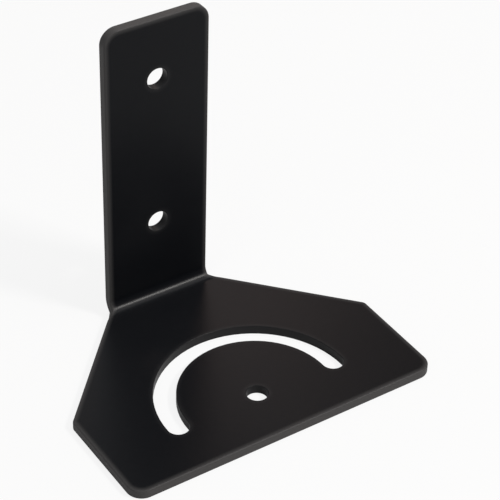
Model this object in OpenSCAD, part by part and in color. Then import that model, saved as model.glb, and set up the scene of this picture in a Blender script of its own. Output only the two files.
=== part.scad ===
// Wall bracket for an infrared illuminator: one steel sheet, cut out and folded once.
// Millimetres. X runs across, the wall is behind at +Y, the shelf reaches forward along -Y, Z is up.
// The origin is on the rear face, midway between the two wall holes.

/* [Sheet] */
// thickness of the sheet with its coat
sheet_t = 3.1; // [2.6:0.1:4]
// radius on the hollow side of the fold
fold_inner_r = 3.6; // [2.4:0.1:5]
// width of the broken edge around the outline
edge_break = 0.4; // [0.2:0.05:0.6]

/* [Wall leg] */
// width of the leg
leg_w = 35; // [28:0.5:42]
// height of the leg above the underside of the shelf
leg_h = 102; // [96:0.5:130]
// radius of the two upper corners
leg_corner_r = 5; // [2:0.5:10]
// diameter of the two wall holes
wall_hole_d = 6.8; // [5:0.1:9]
// height of the lower wall hole above the underside of the shelf
wall_hole_low = 30.7; // [20:0.1:34]
// distance of the upper wall hole from the top of the leg
wall_hole_drop = 20.1; // [10:0.1:24]

/* [Shelf] */
// full width of the shelf
shelf_w = 104.5; // [84:0.5:130]
// reach of the shelf from the wall to its front edge
shelf_d = 76.8; // [72:0.1:100]
// distance from the wall at which the shelf reaches its full width
shoulder_d = 41.2; // [36:0.1:50]
// distance from the wall at which the slanted sides, drawn on, meet the width of the leg
flare_root_d = 3.3; // [2.8:0.1:5]
// radius of the two shoulder corners
shoulder_r = 2; // [1:0.5:6]
// radius of the two front corners
front_corner_r = 5; // [2:0.5:10]

/* [Pivot and slot] */
// diameter of the pivot hole
pivot_d = 6.6; // [5:0.1:9]
// distance of the pivot hole from the front edge
pivot_setback = 17.9; // [12:0.1:20]
// radius of the slot's centre line about the pivot hole
slot_r = 27.3; // [22:0.1:31]
// width of the slot
slot_w = 6.8; // [5:0.1:9]
// angle that the slot's centre line turns through
slot_sweep = 180; // [120:5:180]

/* [Hidden] */
$fn = 96;
spare = 1;
fold_outer_r = fold_inner_r + sheet_t;
// the fold takes up the sheet along a line a little inside its middle
neutral_share = 0.4;
neutral_r = fold_inner_r + neutral_share * sheet_t;
wall_hole_pitch = leg_h - wall_hole_drop - wall_hole_low;
pattern_z = wall_hole_low + wall_hole_pitch / 2;
pivot_y = pivot_setback - shelf_d;
flare_slope = (shelf_w - leg_w) / 2 / (shoulder_d - flare_root_d);
// how far the slanted sides run into the fold, along the sheet and as an angle
flare_run = fold_outer_r - flare_root_d;
flare_turn = min(80, flare_run / neutral_r * 180 / PI);
flare_half_w = leg_w / 2 + flare_slope * flare_run;
// how far outside the fold's end the leaning cut passes, so that the two cuts cross on the fold
flare_overlap = 0.4;

// corners of the shelf from above and of the leg from the front, each with its radius
shelf_corners = [
    [[flare_half_w, -fold_outer_r], 0],
    [[-flare_half_w, -fold_outer_r], 0],
    [[-shelf_w / 2, -shoulder_d], shoulder_r],
    [[-shelf_w / 2, -shelf_d], front_corner_r],
    [[shelf_w / 2, -shelf_d], front_corner_r],
    [[shelf_w / 2, -shoulder_d], shoulder_r]
];
leg_corners = [
    [[-leg_w / 2, fold_outer_r], 0],
    [[leg_w / 2, fold_outer_r], 0],
    [[leg_w / 2, leg_h], leg_corner_r],
    [[-leg_w / 2, leg_h], leg_corner_r]
];

function unit(v) = v / norm(v);
function at(list, i) = list[(i + len(list)) % len(list)];
function radius(list, i) = at(list, i)[1];
function along(list, i) = unit(at(list, i + 1)[0] - at(list, i)[0]);
function heading(v) = atan2(v[1], v[0]);
function turn(list, i) = acos(along(list, i - 1) * along(list, i));
// length of each side that a rounded corner takes up
function setback(list, i) = radius(list, i) * tan(turn(list, i) / 2);
function arc_start(list, i) = at(list, i)[0] - along(list, i - 1) * setback(list, i);
function arc_end(list, i) = at(list, i)[0] + along(list, i) * setback(list, i);
function inward(v) = [-v[1], v[0]];
function arc_centre(list, i) = arc_start(list, i) + radius(list, i) * inward(along(list, i - 1));
function corner_points(list, i) =
    radius(list, i) > 0 ? [arc_start(list, i), arc_end(list, i)] : [at(list, i)[0]];

// flat outline whose corners run anticlockwise and are rounded where they have a radius
module rounded_outline(list) {
    polygon([for (i = [0:len(list) - 1]) each corner_points(list, i)]);
    for (i = [0:len(list) - 1])
        if (radius(list, i) > 0)
            translate(arc_centre(list, i)) circle(r = radius(list, i));
}

// what is taken off along an edge at the origin, with the solid towards -X and -Y
module break_section() {
    clear = edge_break / 2;
    polygon([[-edge_break - clear, clear], [clear, -edge_break - clear], [clear, clear]]);
}

// a square corner's break follows its arc; at any other corner the straight breaks run on and cross
function is_square(list, i) = abs(along(list, i - 1) * along(list, i)) < 0.001;
function before(list, i) = at(list, i)[0] - along(list, i) * spare;
function past(list, i) = at(list, i + 1)[0] + along(list, i) * spare;
function break_from(list, i) = is_square(list, i) ? arc_end(list, i) : before(list, i);
function break_to(list, i) = is_square(list, i + 1) ? arc_start(list, i + 1) : past(list, i);

// the broken edge around an outline, on a face at z = 0 with the sheet below it;
// the outline's first side is left out, because the fold joins on there
module outline_break(list) {
    for (i = [1:len(list) - 1]) {
        from = i == 1 ? before(list, i) : break_from(list, i);
        to = i == len(list) - 1 ? past(list, i) : break_to(list, i);
        translate([to[0], to[1], 0])
            rotate([90, 0, heading(along(list, i)) - 90])
                linear_extrude(norm(to - from))
                    break_section();
        if (radius(list, i) > 0 && is_square(list, i))
            translate([arc_centre(list, i)[0], arc_centre(list, i)[1], 0])
                rotate([0, 0, heading(along(list, i - 1)) - 90])
                    rotate_extrude(angle = 90)
                        translate([radius(list, i), 0])
                            break_section();
    }
}

// a flat run of the sheet, cut to an outline and with its edges broken on both faces
module flat_plate(list) {
    difference() {
        linear_extrude(sheet_t) rounded_outline(list);
        translate([0, 0, sheet_t]) outline_break(list);
        mirror([0, 0, 1]) outline_break(list);
    }
}

// where the slanted sides run on into the fold: the cut is square to the sheet in the flat, so it
// leans over as the sheet curls, and is made here as an upright plane and a leaning one; the broken
// edges run out before this short stretch
module flare_prisms() {
    lean = (flare_half_w - leg_w / 2 + flare_overlap) / (fold_inner_r * sin(flare_turn));
    reach = fold_outer_r + spare;
    root_half_w = leg_w / 2 - flare_slope * flare_root_d;
    lean_low_w = leg_w / 2 - lean * spare;
    lean_high_w = leg_w / 2 + lean * reach;
    intersection() {
        translate([0, 0, -spare])
            linear_extrude(reach)
                polygon([[-flare_half_w, -fold_outer_r], [flare_half_w, -fold_outer_r],
                    [root_half_w, 0], [-root_half_w, 0]]);
        translate([0, -fold_outer_r, fold_outer_r])
            rotate([180 + flare_turn, 0, 0])
                linear_extrude(reach)
                    polygon([[-lean_low_w, -spare], [lean_low_w, -spare],
                        [lean_high_w, reach], [-lean_high_w, reach]]);
    }
}

// the sheet's section across the leg with its four edges broken, set out from the fold's axis
module leg_section() {
    half_w = leg_w / 2;
    inset_w = half_w - edge_break;
    polygon([[fold_inner_r, -inset_w], [fold_inner_r + edge_break, -half_w],
        [fold_outer_r - edge_break, -half_w], [fold_outer_r, -inset_w],
        [fold_outer_r, inset_w], [fold_outer_r - edge_break, half_w],
        [fold_inner_r + edge_break, half_w], [fold_inner_r, inset_w]]);
}

// a section turned through the quarter circle from the shelf up to the leg
module quarter_turn() {
    translate([0, -fold_outer_r, fold_outer_r])
        rotate([90, 0, 90])
            rotate([0, 0, -90])
                rotate_extrude(angle = 90)
                    children();
}

// the fold is as narrow as the leg above and flared towards the shelf below
module fold() {
    quarter_turn() leg_section();
    intersection() {
        quarter_turn()
            translate([fold_inner_r, -shelf_w / 2])
                square([sheet_t, shelf_w]);
        flare_prisms();
    }
}

module wall_holes() {
    for (z = [wall_hole_low, wall_hole_low + wall_hole_pitch])
        translate([0, spare, z])
            rotate([90, 0, 0])
                cylinder(d = wall_hole_d, h = sheet_t + 2 * spare);
}

module pivot_hole() {
    translate([0, pivot_y, -spare])
        cylinder(d = pivot_d, h = sheet_t + 2 * spare);
}

// the slot bends around the wall side of the pivot hole and has round ends
module arc_slot() {
    depth = sheet_t + 2 * spare;
    translate([0, pivot_y, -spare])
        rotate([0, 0, 90 - slot_sweep / 2]) {
            rotate_extrude(angle = slot_sweep)
                translate([slot_r - slot_w / 2, 0])
                    square([slot_w, depth]);
            for (a = [0, slot_sweep])
                rotate([0, 0, a])
                    translate([slot_r, 0, 0])
                        cylinder(d = slot_w, h = depth);
        }
}

module bracket_sheet() {
    color([0.08, 0.08, 0.09])
        translate([0, 0, -pattern_z])
            difference() {
                union() {
                    rotate([90, 0, 0]) flat_plate(leg_corners);
                    fold();
                    flat_plate(shelf_corners);
                }
                wall_holes();
                pivot_hole();
                arc_slot();
            }
}

bracket_sheet();
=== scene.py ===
import math

import bpy
from mathutils import Matrix, Vector
from mathutils.geometry import delaunay_2d_cdt


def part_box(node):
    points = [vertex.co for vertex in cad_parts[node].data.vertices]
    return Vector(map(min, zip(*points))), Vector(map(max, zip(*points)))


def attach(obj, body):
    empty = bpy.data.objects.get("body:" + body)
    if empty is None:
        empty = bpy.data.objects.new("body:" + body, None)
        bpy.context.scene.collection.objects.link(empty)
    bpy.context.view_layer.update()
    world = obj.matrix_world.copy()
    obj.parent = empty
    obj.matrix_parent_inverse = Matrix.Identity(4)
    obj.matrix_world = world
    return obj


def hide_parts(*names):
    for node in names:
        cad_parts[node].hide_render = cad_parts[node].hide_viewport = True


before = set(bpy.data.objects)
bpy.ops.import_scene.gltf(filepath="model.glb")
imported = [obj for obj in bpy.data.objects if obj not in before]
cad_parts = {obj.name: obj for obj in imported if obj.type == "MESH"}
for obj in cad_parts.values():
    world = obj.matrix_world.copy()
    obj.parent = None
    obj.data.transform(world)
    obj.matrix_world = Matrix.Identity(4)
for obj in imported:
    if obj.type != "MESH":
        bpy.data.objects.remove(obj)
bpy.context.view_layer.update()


# The bracket itself: one blank of black-coated steel sheet, cut out flat with its two wall holes,
# pivot hole and half-round slot, and then folded once over a press-brake tool. The blank is drawn
# here in the flat, in millimetres, and wrapped round the fold.
MM = 0.001
lowest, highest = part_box("bracket_sheet")
SHELF_WIDTH, SHELF_DEPTH, LEG_HEIGHT = ((high - low) / MM for low, high in zip(lowest, highest))
SHEET = 3.1
FOLD_INNER = 3.6
FOLD_OUTER = FOLD_INNER + SHEET
NEUTRAL_SHARE = 0.4
FOLD_RUN = (FOLD_INNER + NEUTRAL_SHARE * SHEET) * math.pi / 2
LEG_WIDTH = 35.0
SHOULDER_DEPTH = 41.2
FLARE_ROOT = 3.3
LEG_CORNER = 5.0
FRONT_CORNER = 5.0
SHOULDER_CORNER = 2.0
FLARE_CORNER = 0.6
WALL_HOLE = 6.8
LOW_HOLE_HEIGHT = 30.7
WALL_HOLE_PITCH = 51.2
PIVOT_HOLE = 6.6
PIVOT_DEPTH = 58.9
SLOT_RADIUS = 27.3
SLOT_WIDTH = 6.8
OUTER_EDGE_ROUND = 0.5
HOLE_EDGE_ROUND = 0.22
# The rim share, 1 on the cut edges and 0 RIM_WIDTH inside them, sets their painted highlight and
# roughness.
RIM_WIDTH = 1.3
FACE_RIM = 0.65
OUTLINE_RIM = 1.0
HOLE_RIM = 0.3
EDGE_STEPS = 5
ARC_STEP = math.radians(5)
FOLD_ROWS = 16
ROW_SPACING = 2.2
ROW_MARGIN = 3.0
ROW_CLEARANCE = 0.01
SAME_SPOT = 1e-4
SAME_CORNER = 1e-5


def from_wall(depth):
    """Distance down the blank of a point of the shelf that lies this far from the wall."""
    return FOLD_RUN + depth - FOLD_OUTER


def up_leg(height):
    """Distance down the blank of a point of the leg at this height above the shelf's underside."""
    return FOLD_OUTER - height


def arc(centre, radius, start, end):
    """Points of an arc with the direction that faces out of the metal, which lies on its left."""
    steps = max(2, math.ceil(abs(end - start) / ARC_STEP))
    facing = 1 if end > start else -1
    points = []
    for k in range(steps + 1):
        angle = start + (end - start) * k / steps
        way = Vector((math.cos(angle), math.sin(angle)))
        points.append((Vector(centre) + radius * way, facing * way))
    return points


def rounded(corners):
    """An outline with each corner turned on its radius, hollow corners too."""
    points = []
    for i, (x, s, radius) in enumerate(corners):
        here = Vector((x, s))
        before = (here - Vector(corners[i - 1][:2])).normalized()
        after = (Vector(corners[(i + 1) % len(corners)][:2]) - here).normalized()
        turn = math.atan2(before.x * after.y - before.y * after.x, before.dot(after))
        side = 1 if turn > 0 else -1
        start = here - before * radius * math.tan(abs(turn) / 2)
        centre = start + side * radius * Vector((-before.y, before.x))
        first = math.atan2(*(start - centre).yx)
        points += arc(centre, radius, first, first + turn)
    return points


def row_place(row):
    """Distance down the blank of one of the rows that the fold is bent along."""
    return FOLD_RUN * row / FOLD_ROWS


def split_at_rows(points):
    """Adds a point wherever a side crosses one of the fold's rows."""
    rows = [row_place(k) for k in range(FOLD_ROWS + 1)]
    result = []
    for i, (here, out) in enumerate(points):
        there = points[(i + 1) % len(points)][0]
        result.append((here, out))
        low, high = sorted((here.y, there.y))
        crossed = [row for row in rows if low + ROW_CLEARANCE < row < high - ROW_CLEARANCE]
        if here.y > there.y:
            crossed.reverse()
        side = (there - here).normalized()
        for row in crossed:
            share = (row - here.y) / (there.y - here.y)
            result.append((here.lerp(there, share), Vector((side.y, -side.x))))
    return result


def without_repeats(points):
    return [p for i, p in enumerate(points) if (p[0] - points[i - 1][0]).length > SAME_SPOT]


def hole(x, s, diameter):
    return arc((x, s), diameter / 2, 2 * math.pi, 0)


flare_slope = (SHELF_WIDTH - LEG_WIDTH) / 2 / (SHOULDER_DEPTH - FLARE_ROOT)
flare_start = from_wall(FLARE_ROOT)
right_side = [
    (LEG_WIDTH / 2, flare_start, FLARE_CORNER),
    (SHELF_WIDTH / 2, from_wall(SHOULDER_DEPTH), SHOULDER_CORNER),
    (SHELF_WIDTH / 2, from_wall(SHELF_DEPTH), FRONT_CORNER),
]
left_side = [(-x, s, radius) for x, s, radius in reversed(right_side)]
leg_top = up_leg(LEG_HEIGHT)
outline = rounded(
    [(-LEG_WIDTH / 2, leg_top, LEG_CORNER), (LEG_WIDTH / 2, leg_top, LEG_CORNER)]
    + right_side
    + left_side
)
pivot = (0, from_wall(PIVOT_DEPTH))
half_turn = math.pi
slot_half = SLOT_WIDTH / 2
slot = (
    arc(pivot, SLOT_RADIUS + slot_half, 0, -half_turn)
    + arc((-SLOT_RADIUS, pivot[1]), slot_half, half_turn, 0)
    + arc(pivot, SLOT_RADIUS - slot_half, -half_turn, 0)
    + arc((SLOT_RADIUS, pivot[1]), slot_half, half_turn, 0)
)
low_hole = up_leg(LOW_HOLE_HEIGHT)
cut_paths = [(split_at_rows(without_repeats(outline)), OUTER_EDGE_ROUND, OUTLINE_RIM)]
for path in (
    hole(0, low_hole, WALL_HOLE),
    hole(0, low_hole - WALL_HOLE_PITCH, WALL_HOLE),
    hole(*pivot, PIVOT_HOLE),
    slot,
):
    cut_paths.append((without_repeats(path), HOLE_EDGE_ROUND, HOLE_RIM))


def wrap(x, s, deep, facing):
    """Takes a point of the blank and the way it faces to their places in the folded bracket."""
    bend = min(max(s / FOLD_RUN, 0), 1) * math.pi / 2
    along = Vector((0, -math.sin(bend), -math.cos(bend)))
    through = Vector((0, math.cos(bend), -math.sin(bend)))
    place = Vector((x, -FOLD_OUTER, FOLD_OUTER)) + (FOLD_INNER + deep) * through
    place += along * (min(s, 0) + max(s - FOLD_RUN, 0))
    place.z -= LOW_HOLE_HEIGHT + WALL_HOLE_PITCH / 2
    out = Vector((facing[0], 0, 0)) + facing[1] * along + facing[2] * through
    return place * MM, out.normalized()


def edge_profile(radius):
    """Steps over a cut edge, face to face: distance in, depth, lean of the surface, rim share."""
    steps = [(radius + RIM_WIDTH, 0, 0, 0), (radius, 0, 0, FACE_RIM)]
    for k in range(1, EDGE_STEPS + 1):
        lean = math.pi / 2 * k / EDGE_STEPS
        rim = FACE_RIM + (1 - FACE_RIM) * k / EDGE_STEPS
        steps.append((radius * (1 - math.sin(lean)), radius * (1 - math.cos(lean)), lean, rim))
    far = [(inset, SHEET - deep, math.pi - lean, rim) for inset, deep, lean, rim in reversed(steps)]
    return steps + far


places, facings, rims, faces = [], [], [], []
face_points, face_sides = [], []
near_ring, far_ring = [], []
fill_loops = []
for path, edge_round, rim_level in cut_paths:
    profile = edge_profile(edge_round)
    first = len(places)
    count = len(path)
    for inset, deep, lean, rim in profile:
        for point, out in path:
            spot = point - out * inset
            facing = (out.x * math.sin(lean), out.y * math.sin(lean), -math.cos(lean))
            place, normal = wrap(spot.x, spot.y, deep, facing)
            places.append(place)
            facings.append(normal)
            rims.append(rim * rim_level)
    for ring in range(len(profile) - 1):
        for k in range(count):
            a = first + ring * count + k
            b = first + ring * count + (k + 1) % count
            faces.append((a, b, b + count, a + count))
    start = len(face_points)
    fill_loops.append([point - out * profile[0][0] for point, out in path])
    face_points += fill_loops[-1]
    face_sides += [(start + k, start + (k + 1) % count) for k in range(count)]
    near_ring += range(first, first + count)
    far_ring += range(first + (len(profile) - 1) * count, first + len(profile) * count)

for k in range(FOLD_ROWS + 1):
    row = row_place(k)
    half = LEG_WIDTH / 2 + flare_slope * max(row - flare_start, 0) - ROW_MARGIN
    spots = round(2 * half / ROW_SPACING)
    row_start = len(face_points)
    for i in range(spots + 1):
        x = half * (2 * i / spots - 1)
        face_points.append(Vector((x, row)))
        for deep, ring, facing in ((0, near_ring, (0, 0, -1)), (SHEET, far_ring, (0, 0, 1))):
            place, normal = wrap(x, row, deep, facing)
            ring.append(len(places))
            places.append(place)
            facings.append(normal)
            rims.append(0)
    face_sides += [(row_start + i, row_start + i + 1) for i in range(spots)]


def turns_around(spot, loop):
    """Whether a loop goes round a spot."""
    total = 0
    for i, here in enumerate(loop):
        a, b = loop[i - 1] - spot, here - spot
        total += math.atan2(a.x * b.y - a.y * b.x, a.dot(b))
    return abs(total) > math.pi


INSIDE = 1
filled = delaunay_2d_cdt(face_points, face_sides, [], INSIDE, SAME_CORNER)
source = [alike[0] for alike in filled[3]]
for triangle in filled[2]:
    corners = [source[v] for v in triangle]
    middle = sum((face_points[v] for v in corners), Vector((0, 0))) / 3
    if any(turns_around(middle, loop) for loop in fill_loops[1:]):
        continue
    faces.append(tuple(near_ring[v] for v in reversed(corners)))
    faces.append(tuple(far_ring[v] for v in corners))

sheet_mesh = bpy.data.meshes.new("folded_sheet")
sheet_mesh.from_pydata(places, [], faces)
sheet_mesh.polygons.foreach_set("use_smooth", [True] * len(faces))
rim_layer = sheet_mesh.attributes.new("rim", "FLOAT", "POINT")
rim_layer.data.foreach_set("value", rims)
sheet_mesh.normals_split_custom_set_from_vertices(facings)
folded_sheet = bpy.data.objects.new("folded_sheet", sheet_mesh)
bpy.context.scene.collection.objects.link(folded_sheet)
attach(folded_sheet, "root")
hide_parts("bracket_sheet")


# The bracket's finish: black powder, sprayed on dry and baked. It sets as a satin skin with a faint
# orange peel and a fine grain that breaks up its shine. The cut edges are rougher than the faces,
# and a painted highlight makes them lighter.
DEEP_BLACK = (0.0030, 0.0034, 0.0046, 1)
SOFT_BLACK = (0.0041, 0.0045, 0.0057, 1)
# The lighter grey painted on the cut edges as a highlight.
PAINTED_HIGHLIGHT_GREY = (0.056, 0.054, 0.054, 1)
HIGHLIGHT_AND_DULLNESS_FADE = 1.2
FACE_ROUGHNESS = (0.28, 0.34)
EDGE_ROUGHNESS = 0.5
PEEL_SCALE = 650
PEEL_DEPTH = 0.03 * MM
GRAIN_SCALE = 4200
GRAIN_DEPTH = 0.01 * MM
CLOUD_SCALE = 28
NOISE_LOW, NOISE_HIGH = 0.3, 0.7

coat = bpy.data.materials.new("black_powder_coat")
coat.use_nodes = True
nodes, links = coat.node_tree.nodes, coat.node_tree.links
shader = nodes["Principled BSDF"]
shader.inputs["Metallic"].default_value = 0.0
shader.inputs["IOR"].default_value = 1.5
shader.inputs["Specular IOR Level"].default_value = 0.1
where = nodes.new("ShaderNodeTexCoord")


def noise(scale, detail):
    node = nodes.new("ShaderNodeTexNoise")
    node.inputs["Scale"].default_value = scale
    node.inputs["Detail"].default_value = detail
    links.new(where.outputs["Object"], node.inputs["Vector"])
    return node


def spread(texture, low, high):
    """Takes a noise's usual range to the range from low to high."""
    change = nodes.new("ShaderNodeMapRange")
    change.inputs["From Min"].default_value = NOISE_LOW
    change.inputs["From Max"].default_value = NOISE_HIGH
    change.inputs["To Min"].default_value = low
    change.inputs["To Max"].default_value = high
    links.new(texture.outputs["Fac"], change.inputs["Value"])
    return change.outputs["Result"]


def bump(texture, strength, depth):
    node = nodes.new("ShaderNodeBump")
    node.inputs["Strength"].default_value = strength
    node.inputs["Distance"].default_value = depth
    links.new(texture.outputs["Fac"], node.inputs["Height"])
    return node


peel = noise(PEEL_SCALE, 2)
grain = noise(GRAIN_SCALE, 3)
cloud = noise(CLOUD_SCALE, 4)
rim_share = nodes.new("ShaderNodeAttribute")
rim_share.attribute_name = "rim"
# How much painted edge highlight and edge roughness the coat gets, from the rim share.
highlight_and_dullness = nodes.new("ShaderNodeMath")
highlight_and_dullness.operation = "POWER"
highlight_and_dullness.inputs[1].default_value = HIGHLIGHT_AND_DULLNESS_FADE
links.new(rim_share.outputs["Fac"], highlight_and_dullness.inputs[0])

pigment = nodes.new("ShaderNodeMix")
pigment.data_type = "RGBA"
pigment.inputs["A"].default_value = DEEP_BLACK
pigment.inputs["B"].default_value = SOFT_BLACK
links.new(spread(cloud, 0, 1), pigment.inputs["Factor"])
# Painted highlight: the cut edges get a lighter grey that stands in for the light they catch.
painted_edge_highlight = nodes.new("ShaderNodeMix")
painted_edge_highlight.data_type = "RGBA"
painted_edge_highlight.inputs["B"].default_value = PAINTED_HIGHLIGHT_GREY
links.new(highlight_and_dullness.outputs["Value"], painted_edge_highlight.inputs["Factor"])
links.new(pigment.outputs["Result"], painted_edge_highlight.inputs["A"])
links.new(painted_edge_highlight.outputs["Result"], shader.inputs["Base Color"])

roughness = nodes.new("ShaderNodeMix")
roughness.inputs["B"].default_value = EDGE_ROUGHNESS
links.new(highlight_and_dullness.outputs["Value"], roughness.inputs["Factor"])
links.new(spread(grain, *FACE_ROUGHNESS), roughness.inputs["A"])
links.new(roughness.outputs["Result"], shader.inputs["Roughness"])

grain_bump = bump(grain, 0.25, GRAIN_DEPTH)
peel_bump = bump(peel, 0.5, PEEL_DEPTH)
links.new(grain_bump.outputs["Normal"], peel_bump.inputs["Normal"])
links.new(peel_bump.outputs["Normal"], shader.inputs["Normal"])
folded_sheet.data.materials.append(coat)


# The floor: matt white paper that the shelf lies flat on. To the camera it glows, so that it comes
# out nearly white with the bracket's shadow on it, and no light is added to the bracket for that.
PAPER_WIDTH = 6
PAPER_WHITE = (0.64, 0.64, 0.64, 1)
PAPER_GLOW = (("Is Camera Ray", 0.86), ("Is Glossy Ray", 0.2), ("Is Transmission Ray", 0.86))
bpy.ops.mesh.primitive_plane_add(size=PAPER_WIDTH, location=(0, 0, lowest[2]))
floor = bpy.context.object
floor.name = "studio_floor"
paper = bpy.data.materials.new("white_paper")
paper.use_nodes = True
paper_nodes, paper_links = paper.node_tree.nodes, paper.node_tree.links
matt = paper_nodes["Principled BSDF"]
matt.inputs["Base Color"].default_value = PAPER_WHITE
matt.inputs["Roughness"].default_value = 0.9
matt.inputs["Specular IOR Level"].default_value = 0.1
glow = paper_nodes.new("ShaderNodeEmission")
glow.inputs["Strength"].default_value = 1.0
looked_at = paper_nodes.new("ShaderNodeLightPath")
glow_share = None
for kind, share in PAPER_GLOW:
    added = paper_nodes.new("ShaderNodeMath")
    added.operation = "MULTIPLY_ADD"
    added.inputs[1].default_value = share
    added.inputs[2].default_value = 0
    paper_links.new(looked_at.outputs[kind], added.inputs[0])
    if glow_share:
        paper_links.new(glow_share, added.inputs[2])
    glow_share = added.outputs["Value"]
whitened = paper_nodes.new("ShaderNodeMixShader")
paper_links.new(glow_share, whitened.inputs["Fac"])
paper_links.new(matt.outputs["BSDF"], whitened.inputs[1])
paper_links.new(glow.outputs["Emission"], whitened.inputs[2])
paper_links.new(whitened.outputs["Shader"], paper_nodes["Material Output"].inputs["Surface"])
floor.data.materials.append(paper)


# The room: white to the camera, and an even fill on matt surfaces. What the satin coat mirrors is
# dim low down in front, brighter overhead and behind, brightest towards a pale wall at the back,
# and warm to the right of it.
FILL_STRENGTH = 0.30
FRONT_STRENGTH = 0.08
BEHIND_STRENGTH = 0.43
PALE_WALL_STRENGTH = 1.45
OVERHEAD_WAY = Vector((0, 0.5, 0.87)).normalized()
PALE_WALL_WAY = Vector((0.30, 0.68, 0.67)).normalized()
WARM_WAY = Vector((0.66, 0.50, 0.56)).normalized()
ROOM_WHITE = (1.0, 1.0, 1.0, 1)
ROOM_WARM = (1.0, 0.72, 0.54, 1)

world = bpy.data.worlds.new("white_room")
bpy.context.scene.world = world
world.use_nodes = True
room_nodes, room_links = world.node_tree.nodes, world.node_tree.links
room = room_nodes["Background"]
seen = room_nodes.new("ShaderNodeLightPath")
direction = room_nodes.new("ShaderNodeTexCoord")


def combined(operation, first, second):
    node = room_nodes.new("ShaderNodeMath")
    node.operation = operation
    room_links.new(first, node.inputs[0])
    room_links.new(second, node.inputs[1])
    return node.outputs["Value"]


def blended(share, low, high):
    node = room_nodes.new("ShaderNodeMix")
    room_links.new(share, node.inputs["Factor"])
    for socket, value in ((node.inputs["A"], low), (node.inputs["B"], high)):
        if isinstance(value, float):
            socket.default_value = value
        else:
            room_links.new(value, socket)
    return node.outputs["Result"]


def share_towards(way, low, high):
    """How far a direction has turned towards a way, from 0 at one cosine to 1 at the other."""
    cosine = room_nodes.new("ShaderNodeVectorMath")
    cosine.operation = "DOT_PRODUCT"
    cosine.inputs[1].default_value = way
    room_links.new(direction.outputs["Generated"], cosine.inputs[0])
    share = room_nodes.new("ShaderNodeMapRange")
    share.interpolation_type = "SMOOTHSTEP"
    share.inputs["From Min"].default_value = low
    share.inputs["From Max"].default_value = high
    room_links.new(cosine.outputs["Value"], share.inputs["Value"])
    return share.outputs["Result"]


behind = blended(share_towards(PALE_WALL_WAY, 0.97, 1.0), BEHIND_STRENGTH, PALE_WALL_STRENGTH)
shown = blended(share_towards(OVERHEAD_WAY, 0.05, 0.6), FRONT_STRENGTH, behind)
mirrored = combined("MAXIMUM", seen.outputs["Is Glossy Ray"], seen.outputs["Is Transmission Ray"])
lit = blended(mirrored, FILL_STRENGTH, shown)
room_links.new(blended(seen.outputs["Is Camera Ray"], lit, 1.0), room.inputs["Strength"])
room_colour = room_nodes.new("ShaderNodeMix")
room_colour.data_type = "RGBA"
room_colour.inputs["A"].default_value = ROOM_WHITE
room_colour.inputs["B"].default_value = ROOM_WARM
warmth = combined("MULTIPLY", mirrored, share_towards(WARM_WAY, 0.945, 0.98))
room_links.new(warmth, room_colour.inputs["Factor"])
room_links.new(room_colour.outputs["Result"], room.inputs["Color"])


# The lamps: a soft one over the front right, which draws the bright line along the fold, a broad
# one overhead and a weaker one to the left that fill, and the glow of a small window behind.
SHELF_MIDDLE = (0, -0.02, -0.05)


def soft_lamp(name, place, aim, size, power, colour):
    lamp = bpy.data.lights.new(name, "AREA")
    lamp.shape = "RECTANGLE"
    lamp.size, lamp.size_y = size
    lamp.energy = power
    lamp.color = colour
    holder = bpy.data.objects.new(name, lamp)
    holder.location = place
    holder.rotation_euler = (Vector(aim) - Vector(place)).to_track_quat("-Z", "Y").to_euler()
    bpy.context.scene.collection.objects.link(holder)


soft_lamp(
    "front_right_lamp",
    place=(0.56, -0.82, 1.02),
    aim=SHELF_MIDDLE,
    size=(0.24, 0.12),
    power=15.5,
    colour=(1.0, 0.97, 0.94),
)
soft_lamp(
    "overhead_lamp",
    place=(0.42, -0.15, 1.1),
    aim=SHELF_MIDDLE,
    size=(0.7, 0.7),
    power=4.5,
    colour=(1.0, 1.0, 1.0),
)
soft_lamp(
    "left_fill",
    place=(-1.1, -0.5, 0.9),
    aim=(0, 0, -0.02),
    size=(0.8, 0.8),
    power=4,
    colour=(0.97, 0.98, 1.0),
)
soft_lamp(
    "back_window",
    place=(0.215, 0.275, 0.222),
    aim=(0.02, -0.02, -0.053),
    size=(0.11, 0.11),
    power=0.065,
    colour=(1.0, 0.73, 0.66),
)


# The camera: to the front left and above, held a little askew, as the photograph's was.
CAMERA_PLACE = Vector((-0.24120, -0.40289, 0.32182))
CAMERA_AIM = Vector((0.00832, -0.04074, -0.01538))
CAMERA_TILT = math.radians(1.832)
LENS_MM = 137.25
SENSOR_MM = 36
camera_data = bpy.data.cameras.new("photo_camera")
camera_data.sensor_fit = "HORIZONTAL"
camera_data.sensor_width = SENSOR_MM
camera_data.lens = LENS_MM
camera_data.clip_end = 20
camera = bpy.data.objects.new("photo_camera", camera_data)
level = (CAMERA_AIM - CAMERA_PLACE).to_track_quat("-Z", "Y").to_matrix().to_4x4()
camera.matrix_world = Matrix.Translation(CAMERA_PLACE) @ level @ Matrix.Rotation(CAMERA_TILT, 4, "Z")
bpy.context.scene.collection.objects.link(camera)
bpy.context.scene.camera = camera
bpy.context.scene.view_settings.view_transform = "Standard"
